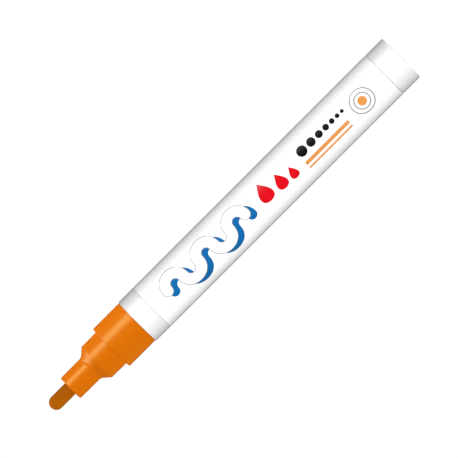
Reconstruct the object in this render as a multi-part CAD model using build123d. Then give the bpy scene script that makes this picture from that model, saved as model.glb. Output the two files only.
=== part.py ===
from build123d import *
from math import radians, tan
import os

# Paint marker with a sprung valve, without its cap, standing on its tail.
# Millimetres. +Z runs up the marker's axis to the nib. The origin is the centre of the tail's flat end.

# Outside sizes, from the tail up
body_diameter = 15.0
tail_length = 6.5
barrel_length = 91.0
collar_length = 5.6
cap_seat_step = 0.3
cap_seat_length = 10.2
waist_step = 1.2
waist_length = 5.6
flare_length = 2.3
snout_wall = 1.74
snout_length = 8.0
nib_diameter = 4.2
nib_exposed = 7.6
draft_angle = 0.4

# Walls of the tube and mouldings
barrel_wall = 0.45
tail_floor = 2.2
plug_wall = 1.1
collar_wall = 1.1
skirt_wall = 1.3
nozzle_wall = 1.6
housing_wall = 0.9
housing_front_wall = 1.6

# Joints between the barrel, collar, nozzle and valve
spigot_length = 8.0
socket_depth = 5.4
shoulder_width = 0.85
gasket_thickness = 0.8
flange_thickness = 1.0
retainer_depth = 2.0
retainer_rim = 0.8

# Valve
valve_stroke = 2.0
seal_thickness = 0.9
seal_land = 0.9
head_thickness = 1.4
flute_radius = 1.6
flute_thickness = 1.0
flute_count = 4
pad_thickness = 1.0
guide_radius = 1.2
guide_overrun = 2.4
spring_length = 9.6
spring_pitch = 1.5
wire_diameter = 0.4

# Paint and air ways
window_width = 2.6
window_height = 4.0
window_sill = 0.8
window_count = 4
port_width = 1.4
port_margin = 0.3
port_count = 4
channel_width = 1.0
channel_depth = 0.45
channel_count = 4
nib_setback = 5.3

# Fits, as clearances on the radius
ring_setback = 0.05
spigot_slack = 0.1
seal_clearance = 0.02
snap_clearance = 0.05
housing_clearance = 0.1
flute_clearance = 0.25
guide_clearance = 0.08
nib_clearance = 0.06
spring_setback = 0.3
ball_gap = 0.25

# Beads and edges
bead_width = 0.9
snap_depth = 0.2
edge_round = 0.15
tail_round = 0.45
cap_seat_round = 0.25
flare_round = 1.5
snout_round = 0.3
nib_chamfer = 0.3
mouth_chamfer = 0.5
gate_radius = 1.1
gate_depth = 0.25

# Radii from the barrel inwards
body_radius = body_diameter / 2
bore_radius = body_radius - barrel_wall
ring_radius = body_radius - ring_setback
spigot_radius = bore_radius - spigot_slack
cup_radius = spigot_radius - plug_wall
cap_seat_radius = body_radius - cap_seat_step
waist_radius = cap_seat_radius - waist_step
throat_radius = waist_radius - nozzle_wall
socket_radius = ring_radius - collar_wall
skirt_radius = socket_radius - snap_clearance
chamber_radius = skirt_radius - skirt_wall
flange_radius = socket_radius - housing_clearance
collar_bore_radius = socket_radius - shoulder_width
housing_radius = collar_bore_radius - housing_clearance
housing_bore_radius = housing_radius - housing_wall
retainer_radius = housing_bore_radius - snap_clearance

# Radii from the nib and the stem outwards
nib_radius = nib_diameter / 2
nib_bore_radius = nib_radius + nib_clearance
channel_radius = nib_bore_radius + channel_depth
snout_radius = nib_bore_radius + snout_wall
valve_hole_radius = flute_radius + flute_clearance
head_radius = valve_hole_radius + seal_land
spring_radius = head_radius - spring_setback
coil_radius = spring_radius - wire_diameter / 2
guide_hole_radius = guide_radius + guide_clearance

# Heights of the outside steps
barrel_bottom = tail_length
barrel_top = barrel_bottom + barrel_length
collar_top = barrel_top + collar_length
cap_seat_top = collar_top + cap_seat_length
waist_top = cap_seat_top + waist_length
flare_top = waist_top + flare_length
snout_top = flare_top + snout_length
nib_top = snout_top + nib_exposed

# Heights of the valve's stack, from the collar's shoulder
shoulder = collar_top - socket_depth
flange_bottom = shoulder + gasket_thickness
flange_top = flange_bottom + flange_thickness
seal_top = flange_top - housing_front_wall
seal_bottom = seal_top - seal_thickness
head_bottom = seal_bottom - head_thickness
spring_bottom = head_bottom - spring_length
housing_bottom = spring_bottom - retainer_depth
retainer_bottom = housing_bottom - retainer_rim
stem_bottom = retainer_bottom - guide_overrun
nib_bottom = flange_top + valve_stroke + nib_setback
skirt_snap_height = (flange_top + collar_top) / 2
retainer_snap_height = (housing_bottom + spring_bottom) / 2

# Mixing balls, side by side on the tail plug's floor, with a gap between them and half a gap below
ball_radius = (cup_radius - ball_gap - ball_gap / 2) / 2
ball_offset = ball_radius + ball_gap / 2
ball_height = tail_floor + ball_gap / 2 + ball_radius

# How deep a bead is rooted in its wall, and how closely an edge has to match to be picked
bead_root = 0.1
matching = 0.001


def turned(corners):
    """Solid made by turning a closed outline of (radius, height) corners about the axis."""
    outline = Polyline(*[(radius, 0, height) for radius, height in corners], close=True)
    return revolve(make_face(outline), Axis.Z)


def rod(radius, bottom, top):
    """Solid cylinder on the axis."""
    return turned([(0, bottom), (radius, bottom), (radius, top), (0, top)])


def ring(inner_radius, outer_radius, bottom, top):
    """Plain ring on the axis."""
    return rod(outer_radius, bottom, top) - rod(inner_radius, bottom, top)


def bead(wall_radius, crest_radius, height, width):
    """Ring with a flat crest and 45 degree flanks that stands on a round wall, centred at a height."""
    half_crest = width / 2
    half_base = half_crest + crest_radius - wall_radius
    return turned([
        (wall_radius - bead_root, height - half_base),
        (wall_radius, height - half_base),
        (crest_radius, height - half_crest),
        (crest_radius, height + half_crest),
        (wall_radius, height + half_base),
        (wall_radius - bead_root, height + half_base),
    ])


def snap_bead(wall_radius, height):
    """Bead that holds a pushed-in moulding."""
    return bead(wall_radius, wall_radius + snap_depth, height, bead_width)


def snap_groove(wall_radius, height):
    """Room in a bore for the snap bead of the moulding that is pushed in."""
    return bead(wall_radius, wall_radius + snap_depth, height, bead_width + 2 * snap_clearance)


def rims(solid, radius, height):
    """Circular edges of a solid at this radius and height."""
    return [
        edge for edge in solid.edges().filter_by(GeomType.CIRCLE)
        if abs(edge.radius - radius) < matching and abs(edge.arc_center.Z - height) < matching
    ]


def spokes(count, inner_radius, outer_radius, width, bottom, top):
    """Upright bars that stand out from the axis, evenly spaced round it."""
    bar = Box(
        outer_radius - inner_radius, width, top - bottom,
        align=(Align.MIN, Align.CENTER, Align.MIN),
    )
    placed = Pos(inner_radius, 0, bottom) * bar
    return [Rot(0, 0, 360 * step / count) * placed for step in range(count)]


def beaded_spigot(bottom, top):
    """Plug that is pushed into the barrel, with two sealing beads that bear on the barrel's bore."""
    spigot = rod(spigot_radius, bottom, top)
    for share in (1 / 3, 2 / 3):
        height = bottom + share * (top - bottom)
        spigot += bead(spigot_radius, bore_radius - seal_clearance, height, bead_width)
    return spigot


def make_barrel():
    """Drawn aluminium tube, open at both ends, with its outer edges broken."""
    tube = ring(bore_radius, body_radius, barrel_bottom, barrel_top)
    ends = rims(tube, body_radius, barrel_bottom) + rims(tube, body_radius, barrel_top)
    return fillet(ends, edge_round)


def make_tail_plug():
    """Moulded plug that closes the barrel: a flat-ended head, a beaded spigot and a cup for the balls."""
    spigot_top = tail_length + spigot_length
    plug = rod(ring_radius, 0, tail_length)
    plug = fillet(rims(plug, ring_radius, 0), tail_round)
    plug = fillet(rims(plug, ring_radius, tail_length), edge_round)
    plug += beaded_spigot(tail_length, spigot_top)
    plug -= rod(cup_radius, tail_floor, spigot_top)
    plug = chamfer(rims(plug, cup_radius, spigot_top), mouth_chamfer)
    return plug - rod(gate_radius, 0, gate_depth)


def make_collar():
    """Moulded joint ring: its spigot is pushed into the barrel and its socket takes the valve and nozzle."""
    spigot_bottom = barrel_top - spigot_length
    collar = rod(ring_radius, barrel_top, collar_top)
    for height in (barrel_top, collar_top):
        collar = fillet(rims(collar, ring_radius, height), edge_round)
    collar += beaded_spigot(spigot_bottom, barrel_top)
    collar -= rod(socket_radius, shoulder, collar_top)
    collar -= rod(collar_bore_radius, spigot_bottom, shoulder)
    return collar - snap_groove(socket_radius, skirt_snap_height)


def make_nozzle():
    """Moulded nose: skirt, cap seat, waist, flare and snout, bored for the nib with air channels."""
    draft = tan(radians(draft_angle))
    waist_top_radius = waist_radius - draft * waist_length
    snout_base_radius = snout_radius + draft * snout_length
    chamber_top = cap_seat_top - nozzle_wall
    throat_top = waist_top - nozzle_wall / 2
    nozzle = turned([
        (chamber_radius, flange_top),
        (skirt_radius, flange_top),
        (skirt_radius, collar_top),
        (cap_seat_radius, collar_top),
        (cap_seat_radius, cap_seat_top),
        (waist_radius, cap_seat_top),
        (waist_top_radius, waist_top),
        (snout_base_radius, flare_top),
        (snout_radius, snout_top),
        (nib_bore_radius, snout_top),
        (nib_bore_radius, flare_top),
        (throat_radius, throat_top),
        (throat_radius, chamber_top),
        (chamber_radius, chamber_top),
    ])
    nozzle = fillet(rims(nozzle, snout_base_radius, flare_top), flare_round)
    nozzle = fillet(rims(nozzle, cap_seat_radius, cap_seat_top), cap_seat_round)
    nozzle = fillet(rims(nozzle, waist_top_radius, waist_top), edge_round)
    nozzle = fillet(rims(nozzle, snout_radius, snout_top), snout_round)
    nozzle += snap_bead(skirt_radius, skirt_snap_height)
    for channel in spokes(channel_count, 0, channel_radius, channel_width, throat_top, snout_top):
        nozzle -= channel
    return nozzle


def make_nib():
    """Bullet nib of bonded fibre: a rod with a round point."""
    point_centre = nib_top - nib_radius
    nib = rod(nib_radius, nib_bottom, point_centre)
    nib = chamfer(rims(nib, nib_radius, nib_bottom), nib_chamfer)
    return nib + Pos(0, 0, point_centre) * Sphere(nib_radius)


def make_valve_gasket():
    """Flat ring that seals the valve's flange on the collar's shoulder."""
    return ring(collar_bore_radius, flange_radius, shoulder, flange_bottom)


def make_valve_housing():
    """Cage for the valve: a flange and front wall with the paint hole, and a tube with windows."""
    housing = rod(flange_radius, flange_bottom, flange_top)
    housing += rod(housing_radius, housing_bottom, flange_bottom)
    housing -= rod(housing_bore_radius, housing_bottom, seal_top)
    housing -= rod(valve_hole_radius, seal_top, flange_top)
    housing -= snap_groove(housing_bore_radius, retainer_snap_height)
    window_bottom = spring_bottom + window_sill
    window_top = window_bottom + window_height
    for window in spokes(window_count, 0, flange_radius, window_width, window_bottom, window_top):
        housing -= window
    return housing


def make_valve_seal():
    """Soft washer under the housing's front wall that the stem's head closes against."""
    return ring(valve_hole_radius, retainer_radius, seal_bottom, seal_top)


def make_valve_stem():
    """Stem: a fluted rod that the nib pushes, a flat head that shuts the valve, and a guide pin."""
    stem = rod(head_radius, head_bottom, seal_bottom)
    envelope = rod(flute_radius, seal_bottom, nib_bottom)
    for flute in spokes(flute_count, 0, flute_radius, flute_thickness, seal_bottom, nib_bottom):
        stem += flute & envelope
    stem += rod(flute_radius, nib_bottom - pad_thickness, nib_bottom)
    return stem + rod(guide_radius, stem_bottom, head_bottom)


def make_valve_spring():
    """Coil spring of round wire, with its ends ground flat."""
    path = Helix(spring_pitch, spring_length, coil_radius, center=(0, 0, spring_bottom))
    section = Plane(origin=path @ 0, z_dir=path % 0) * Circle(wire_diameter / 2)
    coil = sweep(section, path, is_frenet=True)
    return coil & rod(head_radius, spring_bottom, head_bottom)


def make_spring_retainer():
    """Snap-in end of the housing: it carries the spring, guides the stem's pin and lets paint past."""
    retainer = rod(housing_radius, retainer_bottom, housing_bottom)
    retainer += rod(retainer_radius, housing_bottom, spring_bottom)
    retainer += snap_bead(retainer_radius, retainer_snap_height)
    retainer -= rod(guide_hole_radius, retainer_bottom, spring_bottom)
    port_inner = spring_radius + port_margin
    for port in spokes(
        port_count, port_inner, housing_radius, port_width, retainer_bottom, spring_bottom
    ):
        retainer -= port
    return retainer


def make_mixing_ball(side):
    """Steel ball that lies loose in the paint; side is -1 or 1 across the axis."""
    return Pos(side * ball_offset, 0, ball_height) * Sphere(ball_radius)


pieces = {
    "barrel": make_barrel(),
    "tail_plug": make_tail_plug(),
    "collar": make_collar(),
    "nozzle": make_nozzle(),
    "nib": make_nib(),
    "valve_gasket": make_valve_gasket(),
    "valve_housing": make_valve_housing(),
    "valve_seal": make_valve_seal(),
    "valve_stem": make_valve_stem(),
    "valve_spring": make_valve_spring(),
    "spring_retainer": make_spring_retainer(),
    "mixing_ball_1": make_mixing_ball(-1),
    "mixing_ball_2": make_mixing_ball(1),
}

os.makedirs("parts", exist_ok=True)
for node, piece in pieces.items():
    export_step(piece, f"parts/{node}.step")
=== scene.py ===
import bmesh
import bpy
from math import asin, atan2, cos, hypot, pi, radians, sin, sqrt, tan
from mathutils import Matrix, Vector


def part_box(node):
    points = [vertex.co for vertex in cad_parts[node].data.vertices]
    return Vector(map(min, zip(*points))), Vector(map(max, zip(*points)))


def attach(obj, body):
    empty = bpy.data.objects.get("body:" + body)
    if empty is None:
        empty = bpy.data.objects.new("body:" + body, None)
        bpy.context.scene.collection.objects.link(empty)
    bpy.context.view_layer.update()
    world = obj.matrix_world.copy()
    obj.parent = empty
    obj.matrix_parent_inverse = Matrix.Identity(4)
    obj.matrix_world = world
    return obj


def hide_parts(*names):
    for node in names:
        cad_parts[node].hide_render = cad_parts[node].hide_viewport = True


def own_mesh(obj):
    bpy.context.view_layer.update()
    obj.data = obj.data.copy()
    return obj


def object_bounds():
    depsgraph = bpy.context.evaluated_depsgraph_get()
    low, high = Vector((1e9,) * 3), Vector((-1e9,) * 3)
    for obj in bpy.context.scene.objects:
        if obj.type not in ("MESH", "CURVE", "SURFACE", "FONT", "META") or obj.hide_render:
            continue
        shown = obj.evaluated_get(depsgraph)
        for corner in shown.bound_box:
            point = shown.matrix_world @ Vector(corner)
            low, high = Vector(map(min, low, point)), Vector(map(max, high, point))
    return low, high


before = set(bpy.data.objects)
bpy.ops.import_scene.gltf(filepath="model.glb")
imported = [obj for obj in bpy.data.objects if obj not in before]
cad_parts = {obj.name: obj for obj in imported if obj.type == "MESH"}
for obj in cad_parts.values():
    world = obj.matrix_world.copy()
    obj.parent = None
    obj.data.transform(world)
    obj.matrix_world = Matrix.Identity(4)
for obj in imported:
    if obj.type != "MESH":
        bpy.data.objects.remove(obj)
cad_low, cad_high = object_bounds()

# Barrel
# The paint's container: a thin aluminium tube, drawn to size and cut square at both ends.
# It is sprayed with white enamel that is baked hard, and its cut edges are rolled round.
mm = 0.001
barrel_low, barrel_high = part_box("barrel")
body_radius = barrel_high.x
barrel_wall = 0.45 * mm
ink_build = 0.04 * mm
edge_round = 0.15 * mm
tail_seam = 0.08 * mm
collar_seam = 0.05 * mm
round_steps = 160
same_place = 0.002 * mm
sharp_angle = radians(40)
tone_span = (0.2, 0.8)
gloss_span = (0.3, 0.7)
enamel_shade = (0.87, 0.87, 0.87, 1)
enamel_white = (0.93, 0.93, 0.93, 1)


def turned(corners):
    """Closed mesh made by spinning an outline of (radius, height) corners about the marker's axis."""
    bm = bmesh.new()
    outline = [bm.verts.new((radius, 0, height)) for radius, height in corners]
    sides = [bm.edges.new((outline[index - 1], outline[index])) for index in range(len(outline))]
    bmesh.ops.spin(
        bm, geom=outline + sides, cent=(0, 0, 0), axis=(0, 0, 1), angle=2 * pi,
        steps=round_steps, use_merge=True,
    )
    bmesh.ops.remove_doubles(bm, verts=bm.verts, dist=same_place / 4)
    bmesh.ops.recalc_face_normals(bm, faces=bm.faces)
    return bm


def round_rim(bm, radius, height, size, segments=4):
    """Rounds the circular edge at this radius and height."""
    def on_rim(vert):
        off_radius = abs(hypot(vert.co.x, vert.co.y) - radius)
        return off_radius < same_place and abs(vert.co.z - height) < same_place
    rim = [edge for edge in bm.edges if all(on_rim(vert) for vert in edge.verts)]
    bmesh.ops.bevel(
        bm, geom=rim, offset=size, affect="EDGES", segments=segments, profile=0.5, material=-1,
    )


def fit(bm, name, finish, body, stands_for=()):
    """Makes a finished piece of a mesh, shades it by its own faces and lets it ride on its body."""
    mesh = bpy.data.meshes.new(name)
    bm.to_mesh(mesh)
    bm.free()
    mesh.shade_smooth()
    mesh.set_sharp_from_angle(angle=sharp_angle)
    mesh.materials.append(finish)
    piece = bpy.data.objects.new(name, mesh)
    bpy.context.scene.collection.objects.link(piece)
    shading = piece.modifiers.new("even_shading", "WEIGHTED_NORMAL")
    shading.keep_sharp = True
    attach(piece, body)
    if stands_for:
        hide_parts(*stands_for)
    return piece


def new_finish(name):
    """Material with its node tree and its shader."""
    finish = bpy.data.materials.new(name)
    finish.use_nodes = True
    tree = finish.node_tree
    return finish, tree, tree.nodes["Principled BSDF"]


def speckle(tree, spots_per_metre, stretch=(1, 1, 1), detail=2):
    """Noise on the piece's own coordinates."""
    place = tree.nodes.new("ShaderNodeTexCoord")
    stretched = tree.nodes.new("ShaderNodeMapping")
    stretched.inputs["Scale"].default_value = stretch
    spots = tree.nodes.new("ShaderNodeTexNoise")
    spots.inputs["Scale"].default_value = spots_per_metre
    spots.inputs["Detail"].default_value = detail
    tree.links.new(place.outputs["Object"], stretched.inputs["Vector"])
    tree.links.new(stretched.outputs["Vector"], spots.inputs["Vector"])
    return spots.outputs["Fac"]


def tint(tree, shader, pattern, shade, light):
    """Lets the colour drift between two close tones with a pattern."""
    tones = tree.nodes.new("ShaderNodeValToRGB")
    tones.color_ramp.elements[0].position = tone_span[0]
    tones.color_ramp.elements[0].color = shade
    tones.color_ramp.elements[1].position = tone_span[1]
    tones.color_ramp.elements[1].color = light
    tree.links.new(pattern, tones.inputs["Fac"])
    tree.links.new(tones.outputs["Color"], shader.inputs["Base Color"])


def gloss(tree, shader, pattern, low, high):
    """Lets the roughness drift between two values with a pattern."""
    span = tree.nodes.new("ShaderNodeMapRange")
    span.inputs["From Min"].default_value = gloss_span[0]
    span.inputs["From Max"].default_value = gloss_span[1]
    span.inputs["To Min"].default_value = low
    span.inputs["To Max"].default_value = high
    tree.links.new(pattern, span.inputs["Value"])
    tree.links.new(span.outputs["Result"], shader.inputs["Roughness"])


def relief(tree, shader, pattern, depth):
    """Fine relief of a surface, its depth in metres."""
    bump = tree.nodes.new("ShaderNodeBump")
    bump.inputs["Distance"].default_value = depth
    tree.links.new(pattern, bump.inputs["Height"])
    tree.links.new(bump.outputs["Normal"], shader.inputs["Normal"])


def white_enamel():
    """Baked white paint with a faint orange-peel skin."""
    finish, tree, shader = new_finish("white_enamel")
    tint(tree, shader, speckle(tree, 90), enamel_shade, enamel_white)
    gloss(tree, shader, speckle(tree, 350), low=0.16, high=0.26)
    relief(tree, shader, speckle(tree, 900), depth=0.004 * mm)
    shader.inputs["IOR"].default_value = 1.6
    shader.inputs["Coat Weight"].default_value = 0.6
    shader.inputs["Coat Roughness"].default_value = 0.12
    return finish


enamel_radius = body_radius - ink_build
bore_radius = body_radius - barrel_wall
barrel_ends = (barrel_low.z + tail_seam, barrel_high.z - collar_seam)
barrel = turned([
    (bore_radius, barrel_ends[0]),
    (enamel_radius, barrel_ends[0]),
    (enamel_radius, barrel_ends[1]),
    (bore_radius, barrel_ends[1]),
])
for height in barrel_ends:
    round_rim(barrel, enamel_radius, height, edge_round)
fit(barrel, "barrel_tube", white_enamel(), "marker_body", ["barrel"])

# Print on the barrel
# Screen-printed ink on the side that faces the viewer: a snaking white paint stroke with a blue shadow,
# red drops, black dots that shrink in a row, orange stripes and a ringed dot.
# Each colour is a thin raised film.
strip_width = 0.3 * mm
film = ink_build / 4
block_height = 1.0 * mm
stroke_start = 91.0 * mm
stroke_width = 3.0 * mm
stroke_bend = 3.0 * mm
stroke_turns = 5
stroke_line = 0.22 * mm
shadow_offset = Vector((-1.5 * mm, -1.4 * mm, 0))
arc_steps = 28
dot_sides = 64
drop_taper = 0.75


def paint_stroke(bm, width, offset):
    """Flat stroke with round ends that swings from side to side in half circles, moved by an offset."""
    def centre_at(height):
        return Vector((0, height, 0)) + offset
    half = width / 2
    spine = [bm.verts.new(centre_at(stroke_start + shift)) for shift in (half, 0, -half)]
    sides = [bm.edges.new(spine[0:2]), bm.edges.new(spine[1:3])]
    across = spine + sides
    bmesh.ops.spin(
        bm, geom=[spine[0], spine[1], sides[0]], cent=centre_at(stroke_start), axis=(0, 0, 1),
        angle=pi, steps=arc_steps,
    )
    height = stroke_start
    swing = -1
    for _ in range(stroke_turns):
        height -= stroke_bend
        across = bmesh.ops.spin(
            bm, geom=across, cent=centre_at(height), axis=(0, 0, 1), angle=swing * pi, steps=arc_steps,
        )["geom_last"]
        height -= stroke_bend
        swing = -swing
    last = [item for item in across if isinstance(item, bmesh.types.BMVert)]
    last.sort(key=lambda vert: vert.co.y)
    end = next(
        item for item in across
        if isinstance(item, bmesh.types.BMEdge) and last[0] in item.verts
    )
    bmesh.ops.spin(
        bm, geom=[last[0], last[1], end], cent=centre_at(height), axis=(0, 0, 1),
        angle=-swing * pi, steps=arc_steps,
    )


def disc(bm, across, height, radius):
    """Flat round dot."""
    place = Matrix.Translation((across, height, 0))
    return bmesh.ops.create_circle(
        bm, cap_ends=True, segments=dot_sides, radius=radius, matrix=place,
    )["verts"]


def drop(bm, across, height, length):
    """Flat drop of paint, round below and drawn to a tip above."""
    for vert in disc(bm, 0, 0, length / 2):
        share = max(0, (1 - vert.co.x / (length / 2)) / 2)
        vert.co.y *= share ** drop_taper
        vert.co += Vector((across, height, 0))


def hoop(bm, across, height, radius, line):
    """Flat thin ring."""
    place = Matrix.Translation((across, height, 0))
    edges = []
    for size in (radius, radius - line):
        ring = bmesh.ops.create_circle(bm, segments=dot_sides, radius=size, matrix=place)["verts"]
        edges += list({edge for vert in ring for edge in vert.link_edges})
    bmesh.ops.bridge_loops(bm, edges=edges)


def stripe(bm, across, low, high, width):
    """Flat stripe along the barrel."""
    middle = Matrix.Translation((across, (low + high) / 2, 0))
    place = middle @ Matrix.Diagonal((width, high - low, 1, 1))
    bmesh.ops.create_grid(bm, x_segments=1, y_segments=1, size=0.5, matrix=place)


def printed(bm, name, finish, films):
    """Raises flat shapes into blocks that face outwards and wraps them round the barrel as thin ink."""
    bmesh.ops.remove_doubles(bm, verts=bm.verts, dist=same_place)
    raised = bmesh.ops.extrude_face_region(bm, geom=bm.faces[:])["geom"]
    top = [item for item in raised if isinstance(item, bmesh.types.BMVert)]
    bmesh.ops.translate(bm, verts=top, vec=(0, 0, block_height))
    bmesh.ops.recalc_face_normals(bm, faces=bm.faces)
    reach = max(abs(vert.co.x) for vert in bm.verts)
    cuts = int(reach / strip_width)
    for cut in range(-cuts, cuts + 1):
        bmesh.ops.bisect_plane(
            bm, geom=bm.verts[:] + bm.edges[:] + bm.faces[:], dist=same_place / 4,
            plane_co=(cut * strip_width, 0, 0), plane_no=(1, 0, 0),
        )
    for vert in bm.verts:
        turn = vert.co.x / enamel_radius
        radius = enamel_radius + films * film * vert.co.z / block_height
        vert.co = Vector((radius * sin(turn), -radius * cos(turn), vert.co.y))
    fit(bm, name, finish, "marker_body")


def ink(name, shade, light):
    """Printing ink: even colour with a slight mottle and a satin skin."""
    finish, tree, shader = new_finish(name)
    tint(tree, shader, speckle(tree, 700), shade, light)
    gloss(tree, shader, speckle(tree, 1500), low=0.3, high=0.42)
    relief(tree, shader, speckle(tree, 4000), depth=0.002 * mm)
    shader.inputs["Specular IOR Level"].default_value = 0.25
    return finish


blue_ink = ink("blue_ink", (0.003, 0.100, 0.30, 1), (0.004, 0.120, 0.34, 1))
grey_ink = ink("grey_ink", (0.20, 0.21, 0.23, 1), (0.25, 0.26, 0.28, 1))
white_ink = ink("white_ink", (0.86, 0.86, 0.86, 1), (0.93, 0.93, 0.93, 1))
red_ink = ink("red_ink", (0.54, 0.002, 0.007, 1), (0.60, 0.003, 0.010, 1))
black_ink = ink("black_ink", (0.002, 0.0025, 0.003, 1), (0.004, 0.0045, 0.005, 1))
orange_ink = ink("orange_ink", (0.60, 0.235, 0.055, 1), (0.65, 0.26, 0.065, 1))

shadow = bmesh.new()
paint_stroke(shadow, stroke_width, shadow_offset)
printed(shadow, "print_blue_shadow", blue_ink, 1)

outline = bmesh.new()
paint_stroke(outline, stroke_width + 2 * stroke_line, Vector())
printed(outline, "print_grey_outline", grey_ink, 2)

face = bmesh.new()
paint_stroke(face, stroke_width, Vector())
printed(face, "print_white_stroke", white_ink, 3)

# Each drop's place across and up the barrel, and its length, in millimetres.
drop_layout = ((0.6, 53.0, 6.4), (-0.4, 47.6, 5.2), (-1.2, 43.4, 4.0))
drops = bmesh.new()
for across, height, length in drop_layout:
    drop(drops, across * mm, height * mm, length * mm)
printed(drops, "print_red_drops", red_ink, 3)

dot_across = 1.2 * mm
dot_height = 37.6 * mm
dot_radius = 1.6 * mm
dot_pitch = 1.85
dot_gap = 0.6 * mm
dot_shrink = 0.84
smallest_dot = 0.5 * mm
dots = bmesh.new()
while dot_radius > smallest_dot:
    disc(dots, dot_across, dot_height, dot_radius)
    dot_height -= dot_radius * dot_pitch + dot_gap
    dot_radius *= dot_shrink
printed(dots, "print_black_dots", black_ink, 3)

stripe_low = 22.6 * mm
stripe_high = 39.2 * mm
# Each stripe's place across the barrel and its width, in millimetres.
stripe_layout = ((-2.2, 1.1), (-3.8, 0.6))
stripes = bmesh.new()
for across, width in stripe_layout:
    stripe(stripes, across * mm, stripe_low, stripe_high, width * mm)
printed(stripes, "print_orange_stripes", orange_ink, 3)

ringed_across = -0.8 * mm
ringed_height = 16.0 * mm
ringed_radius = 1.35 * mm
dot = bmesh.new()
disc(dot, ringed_across, ringed_height, ringed_radius)
printed(dot, "print_orange_dot", orange_ink, 3)

hoop_line = 0.34 * mm
hoop_radii = (2.5 * mm, 3.8 * mm)
hoops = bmesh.new()
for radius in hoop_radii:
    hoop(hoops, ringed_across, ringed_height, radius, hoop_line)
printed(hoops, "print_grey_hoops", grey_ink, 3)

# Tail plug
# The white moulding that closes the back of the barrel, pushed in and held by two sealing beads.
# Its flat end, where the marker stands, has the small sunk mark of the mould's gate.
plug_low, plug_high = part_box("tail_plug")
ring_radius = plug_high.x
spigot_slack = 0.1 * mm
spigot_radius = bore_radius - spigot_slack
bead_width = 0.9 * mm
seal_clearance = 0.02 * mm
plug_wall = 1.1 * mm
plug_floor = 2.2 * mm
plug_mouth = 0.5 * mm
gate_radius = 1.1 * mm
gate_depth = 0.25 * mm
tail_round = 0.45 * mm
plastic_shade = (0.745, 0.745, 0.745, 1)
plastic_white = (0.765, 0.765, 0.762, 1)


def white_plastic():
    """Glossy white polypropylene with faint flow marks."""
    finish, tree, shader = new_finish("white_plastic")
    tint(tree, shader, speckle(tree, 130, stretch=(1, 1, 0.4), detail=0), plastic_shade, plastic_white)
    gloss(tree, shader, speckle(tree, 400), low=0.29, high=0.35)
    relief(tree, shader, speckle(tree, 2600, stretch=(1, 1, 0.4)), depth=0.003 * mm)
    shader.inputs["IOR"].default_value = 1.6
    shader.inputs["Coat Weight"].default_value = 0.8
    shader.inputs["Coat Roughness"].default_value = 0.3
    return finish


def spigot_beads(low, high):
    """Corners of a spigot's wall between two heights, with a sealing bead at each third."""
    corners = []
    rise = bore_radius - seal_clearance - spigot_radius
    for share in (1 / 3, 2 / 3):
        height = low + share * (high - low)
        half_base = bead_width / 2 + rise
        corners += [
            (spigot_radius, height - half_base),
            (spigot_radius + rise, height - bead_width / 2),
            (spigot_radius + rise, height + bead_width / 2),
            (spigot_radius, height + half_base),
        ]
    return [(spigot_radius, low)] + corners + [(spigot_radius, high)]


cup_radius = spigot_radius - plug_wall
plug = turned([
    (0, gate_depth),
    (gate_radius, gate_depth),
    (gate_radius, plug_low.z),
    (ring_radius, plug_low.z),
    (ring_radius, barrel_low.z),
    *spigot_beads(barrel_low.z, plug_high.z),
    (cup_radius + plug_mouth, plug_high.z),
    (cup_radius, plug_high.z - plug_mouth),
    (cup_radius, plug_floor),
    (0, plug_floor),
])
round_rim(plug, ring_radius, plug_low.z, tail_round, segments=6)
round_rim(plug, ring_radius, barrel_low.z, edge_round)
tail = fit(plug, "tail_plug_moulding", white_plastic(), "marker_body", ["tail_plug"])

# Mixing balls
# Two loose bearing-steel balls that stir the paint when the marker is shaken.
# They are ground round and tumbled, and lie in the tail plug's cup.
ball_shade = (0.52, 0.52, 0.54, 1)
ball_light = (0.66, 0.66, 0.67, 1)


def ball_steel():
    """Tumbled steel: bright, with a faint film of paint that dulls it in patches."""
    finish, tree, shader = new_finish("tumbled_steel")
    tint(tree, shader, speckle(tree, 400), ball_shade, ball_light)
    gloss(tree, shader, speckle(tree, 900), low=0.13, high=0.26)
    relief(tree, shader, speckle(tree, 5000), depth=0.003 * mm)
    shader.inputs["Metallic"].default_value = 1
    return finish


def dress(node, finish):
    """Gives a piece that keeps its CAD mesh a finish of its own."""
    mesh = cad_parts[node].data
    mesh.materials.clear()
    mesh.materials.append(finish)


bright_steel = ball_steel()
for ball in ("mixing_ball_1", "mixing_ball_2"):
    dress(ball, bright_steel)

# Collar
# The white joint ring between barrel and nozzle, of the same plastic as the tail plug.
# Its beaded spigot is pushed into the barrel, and its socket takes the valve and the nozzle's skirt.
collar_low, collar_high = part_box("collar")
collar_wall = 1.1 * mm
socket_depth = 5.4 * mm
shoulder_width = 0.85 * mm
snap_depth = 0.2 * mm
snap_clearance = 0.05 * mm
nozzle_low, nozzle_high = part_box("nozzle")
socket_radius = ring_radius - collar_wall
snap_height = (nozzle_low.z + collar_high.z) / 2


def snap_corners(radius, width):
    """Corners of a snap ring's flat crest and 45 degree flanks, from above."""
    return [
        (radius, snap_height + width / 2 + snap_depth),
        (radius + snap_depth, snap_height + width / 2),
        (radius + snap_depth, snap_height - width / 2),
        (radius, snap_height - width / 2 - snap_depth),
    ]


shoulder = collar_high.z - socket_depth
collar = turned([
    *spigot_beads(collar_low.z, barrel_high.z),
    (ring_radius, barrel_high.z),
    (ring_radius, collar_high.z),
    (socket_radius, collar_high.z),
    *snap_corners(socket_radius, bead_width + 2 * snap_clearance),
    (socket_radius, shoulder),
    (socket_radius - shoulder_width, shoulder),
    (socket_radius - shoulder_width, collar_low.z),
])
for height in (barrel_high.z, collar_high.z):
    round_rim(collar, ring_radius, height, edge_round)
fit(collar, "collar_moulding", white_plastic(), "marker_body", ["collar"])

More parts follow.
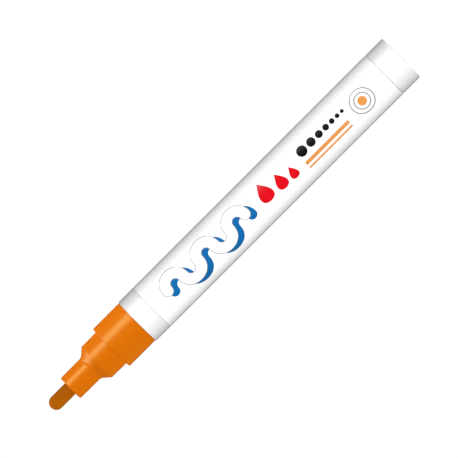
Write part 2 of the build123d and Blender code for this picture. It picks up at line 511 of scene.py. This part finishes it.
# Valve
# A natural-plastic cage with a stem, sealed by two rubber rings and shut by a steel spring.
# It snaps together, drops into the collar and is clamped there by the nozzle's skirt.
acetal_shade = (0.70, 0.70, 0.66, 1)
acetal_light = (0.80, 0.80, 0.76, 1)
rubber_shade = (0.018, 0.018, 0.018, 1)
rubber_light = (0.05, 0.05, 0.05, 1)


def valve_plastic():
    """Natural acetal: milky, satin and a little see-into."""
    finish, tree, shader = new_finish("valve_plastic")
    tint(tree, shader, speckle(tree, 300), acetal_shade, acetal_light)
    gloss(tree, shader, speckle(tree, 800), low=0.35, high=0.5)
    relief(tree, shader, speckle(tree, 3000), depth=0.005 * mm)
    return finish


def seal_rubber():
    """Black nitrile rubber with a dusty matt skin."""
    finish, tree, shader = new_finish("seal_rubber")
    tint(tree, shader, speckle(tree, 1200), rubber_shade, rubber_light)
    gloss(tree, shader, speckle(tree, 2000), low=0.6, high=0.8)
    relief(tree, shader, speckle(tree, 6000), depth=0.01 * mm)
    return finish


milky_plastic = valve_plastic()
black_rubber = seal_rubber()
for node in ("valve_housing", "valve_stem", "spring_retainer"):
    dress(node, milky_plastic)
for node in ("valve_gasket", "valve_seal"):
    dress(node, black_rubber)

# Valve spring
# A coil of drawn stainless wire, ground flat at both ends, between the retainer and the stem's head.
# In the marker it is squeezed by the stroke when the nib is pressed while its lower end stays put; here
# it is built at rest.
spring_low, spring_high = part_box("valve_spring")
wire_radius = 0.2 * mm
spring_pitch = 1.5 * mm
wire_sides = 16
coil_steps = 48
drag_marks = (1, 1, 4)
wire_shade = (0.42, 0.42, 0.44, 1)
wire_light = (0.6, 0.6, 0.62, 1)


def spring_steel():
    """Drawn wire with fine lengthwise drag marks."""
    finish, tree, shader = new_finish("spring_wire")
    tint(tree, shader, speckle(tree, 1500, drag_marks), wire_shade, wire_light)
    gloss(tree, shader, speckle(tree, 3000, drag_marks), low=0.29, high=0.38)
    relief(tree, shader, speckle(tree, 8000, drag_marks), depth=0.003 * mm)
    shader.inputs["Metallic"].default_value = 1
    return finish


coil_radius = spring_high.y - wire_radius
turns = (spring_high.z - spring_low.z) / spring_pitch
spring = bmesh.new()
start = Matrix.Translation((coil_radius, 0, spring_low.z)) @ Matrix.Rotation(pi / 2, 4, "X")
wire = bmesh.ops.create_circle(spring, segments=wire_sides, radius=wire_radius, matrix=start)["verts"]
wire_edges = list({edge for vert in wire for edge in vert.link_edges})
bmesh.ops.spin(
    spring, geom=wire + wire_edges, cent=(0, 0, 0), axis=(0, 0, 1), angle=2 * pi * turns,
    steps=round(coil_steps * turns), dvec=(0, 0, spring_pitch / coil_steps),
)
for height, facing in ((spring_low.z, -1), (spring_high.z, 1)):
    bmesh.ops.bisect_plane(
        spring, geom=spring.verts[:] + spring.edges[:] + spring.faces[:], dist=same_place / 4,
        plane_co=(0, 0, height), plane_no=(0, 0, facing), clear_outer=True,
    )
bmesh.ops.holes_fill(spring, edges=[edge for edge in spring.edges if edge.is_boundary])
bmesh.ops.recalc_face_normals(spring, faces=spring.faces)
coil = fit(spring, "valve_spring_coil", spring_steel(), "marker_body", ["valve_spring"])
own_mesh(coil)

# Nozzle
# The orange nose, moulded in one piece in the colour of the paint and snapped into the collar.
# Its lowest step is the cap's seat. The waist, the flare and the snout that holds the nib follow.
cap_seat_radius = nozzle_high.x
cap_seat_length = 10.2 * mm
waist_step = 1.2 * mm
waist_length = 5.6 * mm
flare_length = 2.3 * mm
snout_wall = 1.74 * mm
skirt_wall = 1.3 * mm
nozzle_wall = 1.6 * mm
draft_angle = radians(0.4)
mould_draft = tan(draft_angle)
flare_round = 1.5 * mm
cap_seat_round = 0.25 * mm
snout_round = 0.3 * mm
fine_round = 0.1 * mm
nib_low, nib_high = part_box("nib")
nib_radius = nib_high.x
nib_clearance = 0.06 * mm
channel_width = 1.0 * mm
channel_depth = 0.45 * mm
orange_shade = (0.55, 0.1335, 0.0003, 1)
orange_light = (0.585, 0.142, 0.0005, 1)


def orange_plastic():
    """Bright orange polypropylene, satin from the mould, with faint flow streaks along it."""
    finish, tree, shader = new_finish("orange_plastic")
    tint(tree, shader, speckle(tree, 220, stretch=(1, 1, 0.25)), orange_shade, orange_light)
    gloss(tree, shader, speckle(tree, 500), low=0.285, high=0.325)
    relief(tree, shader, speckle(tree, 3000, stretch=(1, 1, 0.5)), depth=0.006 * mm)
    shader.inputs["Specular IOR Level"].default_value = 0.63
    shader.inputs["Specular Tint"].default_value = (0.85, 0.97, 0.36, 1)
    shader.inputs["Diffuse Roughness"].default_value = 1
    return finish


def cut_away(bm, cutter):
    """Takes one mesh out of another, and gives back what is left of the other."""
    pieces = []
    for part in (bm, cutter):
        mesh = bpy.data.meshes.new("cut")
        part.to_mesh(mesh)
        part.free()
        piece = bpy.data.objects.new("cut", mesh)
        bpy.context.scene.collection.objects.link(piece)
        pieces.append(piece)
    cut = pieces[0].modifiers.new("cut", "BOOLEAN")
    cut.object = pieces[1]
    cut.operation = "DIFFERENCE"
    cut.solver = "EXACT"
    cut.use_self = True
    left = bmesh.new()
    left.from_object(pieces[0], bpy.context.evaluated_depsgraph_get())
    for piece in pieces:
        mesh = piece.data
        bpy.data.objects.remove(piece)
        bpy.data.meshes.remove(mesh)
    return left


collar_top = collar_high.z
cap_seat_top = collar_top + cap_seat_length
waist_top = cap_seat_top + waist_length
flare_top = waist_top + flare_length
skirt_radius = socket_radius - snap_clearance
waist_radius = cap_seat_radius - waist_step
waist_top_radius = waist_radius - mould_draft * waist_length
nib_bore_radius = nib_radius + nib_clearance
snout_radius = nib_bore_radius + snout_wall
snout_base_radius = snout_radius + mould_draft * (nozzle_high.z - flare_top)
chamber_radius = skirt_radius - skirt_wall
chamber_top = cap_seat_top - nozzle_wall
throat_radius = waist_radius - nozzle_wall
throat_top = waist_top - nozzle_wall / 2
nozzle = turned([
    (chamber_radius, nozzle_low.z),
    (skirt_radius, nozzle_low.z),
    *reversed(snap_corners(skirt_radius, bead_width)),
    (skirt_radius, collar_top),
    (cap_seat_radius, collar_top),
    (cap_seat_radius, cap_seat_top),
    (waist_radius, cap_seat_top),
    (waist_top_radius, waist_top),
    (snout_base_radius, flare_top),
    (snout_radius, nozzle_high.z),
    (nib_bore_radius, nozzle_high.z),
    (nib_bore_radius, flare_top),
    (throat_radius, throat_top),
    (throat_radius, chamber_top),
    (chamber_radius, chamber_top),
])
flare_turn = atan2(waist_top_radius - snout_base_radius, flare_length) - draft_angle
round_rim(nozzle, snout_base_radius, flare_top, flare_round * tan(flare_turn / 2), segments=8)
round_rim(nozzle, waist_top_radius, waist_top, edge_round * tan(flare_turn / 2))
round_rim(nozzle, cap_seat_radius, cap_seat_top, cap_seat_round, segments=5)
round_rim(nozzle, cap_seat_radius, collar_top, fine_round, segments=3)
round_rim(nozzle, waist_radius, cap_seat_top, fine_round, segments=3)
round_rim(nozzle, snout_radius, nozzle_high.z, snout_round, segments=6)
channels = bmesh.new()
channel_radius = nib_bore_radius + channel_depth
for turn in (0, pi / 2):
    place = Matrix.Rotation(turn, 4, "Z") @ Matrix.Translation((0, 0, nozzle_high.z))
    bar = Matrix.Diagonal((2 * channel_radius, channel_width, 2 * (nozzle_high.z - throat_top), 1))
    bmesh.ops.create_cube(channels, size=1, matrix=place @ bar)
nozzle = cut_away(nozzle, channels)
nose = fit(nozzle, "nozzle_moulding", orange_plastic(), "marker_body", ["nozzle"])

# Nib
# A bullet of bonded polyester fibre, ground to a round point and soaked dark with paint.
# It slides in the nozzle's bore and pushes the valve's stem.
nib_chamfer = 0.3 * mm
point_steps = 24
nib_shade = (0.30, 0.077, 0.0008, 1)
nib_light = (0.43, 0.117, 0.0016, 1)
# Painted shade: the nib's colour darkens from its point towards the nozzle's mouth.
painted_shade_at_mouth = -0.12
painted_shade_at_point = 0.16


def soaked_fibre():
    """Paint-soaked felt: fine fibres along the rod, matt and blotched, with painted shade towards the
    nozzle's mouth.
    """
    finish, tree, shader = new_finish("soaked_fibre")
    place = tree.nodes.new("ShaderNodeTexCoord")
    split = tree.nodes.new("ShaderNodeSeparateXYZ")
    # Painted shade along the nib, darkest at the nozzle's mouth, added to the fibre noise.
    painted_shade = tree.nodes.new("ShaderNodeMapRange")
    painted_shade.inputs["From Min"].default_value = nozzle_high.z
    painted_shade.inputs["From Max"].default_value = nib_high.z
    painted_shade.inputs["To Min"].default_value = painted_shade_at_mouth
    painted_shade.inputs["To Max"].default_value = painted_shade_at_point
    fibres_and_painted_shade = tree.nodes.new("ShaderNodeMath")
    fibres_and_painted_shade.operation = "ADD"
    tree.links.new(place.outputs["Object"], split.inputs["Vector"])
    tree.links.new(split.outputs["Z"], painted_shade.inputs["Value"])
    tree.links.new(painted_shade.outputs["Result"], fibres_and_painted_shade.inputs[0])
    tree.links.new(speckle(tree, 7000, stretch=(1, 1, 0.07), detail=4), fibres_and_painted_shade.inputs[1])
    tint(tree, shader, fibres_and_painted_shade.outputs["Value"], nib_shade, nib_light)
    gloss(tree, shader, speckle(tree, 1500, stretch=(1, 1, 0.2)), low=0.75, high=0.95)
    relief(tree, shader, speckle(tree, 12000, stretch=(1, 1, 0.06), detail=3), depth=0.05 * mm)
    shader.inputs["Diffuse Roughness"].default_value = 1
    shader.inputs["Specular IOR Level"].default_value = 0.06
    return finish


point_centre = nib_high.z - nib_radius
quarter = [step * pi / 2 / point_steps for step in range(point_steps + 1)]
nib = turned([
    (0, nib_low.z),
    (nib_radius - nib_chamfer, nib_low.z),
    (nib_radius, nib_low.z + nib_chamfer),
    *[(nib_radius * cos(turn), point_centre + nib_radius * sin(turn)) for turn in quarter[:-1]],
    (0, nib_high.z),
])
fit(nib, "nib_bullet", soaked_fibre(), "nib", ["nib"])

# Studio
# A matt table top that neither throws light back nor stops it, in a surround that is white to the viewer
# and dim to the marker. Broad lights stand in front, under the table and behind it, and a strip at one
# side gives the highlight. Flagged lights reach one piece alone, the nozzle or the tail plug.
floor_radius = 0.6
horizon_level = 0.03
fill_level = 0.20
backdrop_level = 1
floor_sides = 128
floor_shade = (0.43, 0.43, 0.43, 1)
floor_light = (0.44, 0.44, 0.44, 1)


def pale_floor():
    """Matt grey table top."""
    finish, tree, shader = new_finish("pale_floor")
    tint(tree, shader, speckle(tree, 30), floor_shade, floor_light)
    shader.inputs["Roughness"].default_value = 0.9
    shader.inputs["Specular IOR Level"].default_value = 0
    return finish


floor_mesh = bmesh.new()
bmesh.ops.create_circle(floor_mesh, cap_ends=True, segments=floor_sides, radius=floor_radius)
floor_data = bpy.data.meshes.new("floor")
floor_mesh.to_mesh(floor_data)
floor_mesh.free()
floor_data.materials.append(pale_floor())
floor = bpy.data.objects.new("floor", floor_data)
bpy.context.scene.collection.objects.link(floor)
floor.visible_diffuse = False
floor.visible_glossy = False
floor.visible_shadow = False


def soft_light(name, turn, rise, reach, width, height, watts, mirrored=False, matt=True, reaches=None):
    """Soft light, turned round the marker from the viewer and raised, that faces its middle.

    Gloss shows it if mirrored, and matt surfaces if matt. A flagged one reaches one piece alone."""
    lamp = bpy.data.lights.new(name, "AREA")
    lamp.shape = "RECTANGLE"
    lamp.size = width
    lamp.size_y = height
    lamp.energy = watts
    lamp.cycles.use_multiple_importance_sampling = mirrored
    light = bpy.data.objects.new(name, lamp)
    middle = Vector((0, 0, (cad_low.z + cad_high.z) / 2))
    turned_to = Matrix.Rotation(radians(turn), 3, "Z") @ Matrix.Rotation(radians(-rise), 3, "X")
    outward = turned_to @ Vector((0, -1, 0))
    light.location = middle + reach * outward
    light.rotation_euler = (-outward).to_track_quat("-Z", "Y").to_euler()
    light.visible_glossy = mirrored
    light.visible_diffuse = matt
    if reaches:
        flagged = bpy.data.collections.new(name + "_reach")
        flagged.objects.link(reaches)
        light.light_linking.receiver_collection = flagged
    bpy.context.scene.collection.objects.link(light)
    return light


soft_light("key_light", turn=-18, rise=26, reach=1.2, width=1.2, height=0.4, watts=12.6)
under = soft_light("table_light", turn=-19, rise=-52, reach=1.2, width=1.2, height=0.5, watts=10)
soft_light("back_light", turn=180, rise=42, reach=1.2, width=1.2, height=0.6, watts=20)
soft_light(
    "strip_light", turn=44.5, rise=0, reach=1.0, width=0.52, height=0.6, watts=4.7, mirrored=True,
)

# The light from under the table goes past the nozzle, so its steps throw no shadow on each other.
past_nose = bpy.data.collections.new("past_nose")
past_nose.objects.link(nose)
past_nose.collection_objects[0].light_linking.link_state = "EXCLUDE"
under.light_linking.blocker_collection = past_nose

soft_light("left_light", turn=80, rise=0, reach=1.0, width=0.4, height=0.5, watts=8.5, reaches=nose)
soft_light("right_light", turn=-80, rise=0, reach=1.0, width=0.4, height=0.5, watts=2.5, reaches=nose)
soft_light(
    "flare_light", turn=95, rise=50, reach=1.0, width=0.5, height=0.9, watts=4.9,
    mirrored=True, matt=False, reaches=nose,
)
soft_light("rim_light", turn=0, rise=-88, reach=1.0, width=0.4, height=0.4, watts=3.2, reaches=tail)

world = bpy.data.worlds.new("studio")
bpy.context.scene.world = world
world.use_nodes = True
world.cycles.sampling_method = "NONE"
sky = world.node_tree
rays = sky.nodes.new("ShaderNodeLightPath")
fill = sky.nodes.new("ShaderNodeMath")
fill.operation = "MULTIPLY_ADD"
fill.inputs[1].default_value = fill_level - horizon_level
fill.inputs[2].default_value = horizon_level
backdrop = sky.nodes.new("ShaderNodeMath")
backdrop.operation = "MULTIPLY_ADD"
backdrop.inputs[1].default_value = backdrop_level
sky.links.new(rays.outputs["Is Diffuse Ray"], fill.inputs[0])
sky.links.new(rays.outputs["Is Camera Ray"], backdrop.inputs[0])
sky.links.new(fill.outputs["Value"], backdrop.inputs[2])
sky.links.new(backdrop.outputs["Value"], sky.nodes["Background"].inputs["Strength"])
sky.nodes["Background"].inputs["Color"].default_value = (1, 1, 1, 1)

# Camera
# It stands as high as the table and looks square at the marker's side through a very long lens.
# It is rolled so that the nib points to the lower left, with the marker from corner to corner.
picture_width = 126.5 * mm
lens = 1000
sensor = 36
aim = Vector((0.17 * mm, 0, 67.1 * mm))
reach = picture_width * lens / sensor
diagonal = 1 / sqrt(2)
view = bpy.data.cameras.new("camera")
view.lens = lens
view.sensor_width = sensor
view.clip_end = 10 * reach
camera = bpy.data.objects.new("camera", view)
tilt = Matrix.Rotation(asin(aim.z / reach), 3, "X")
right = tilt @ Vector((-diagonal, 0, -diagonal))
up = tilt @ Vector((diagonal, 0, -diagonal))
back = tilt @ Vector((0, -1, 0))
roll = Matrix((right, up, back)).transposed()
camera.matrix_world = Matrix.Translation(aim + back * reach) @ roll.to_4x4()
bpy.context.scene.collection.objects.link(camera)
bpy.context.scene.camera = camera
bpy.context.scene.view_settings.view_transform = "Standard"
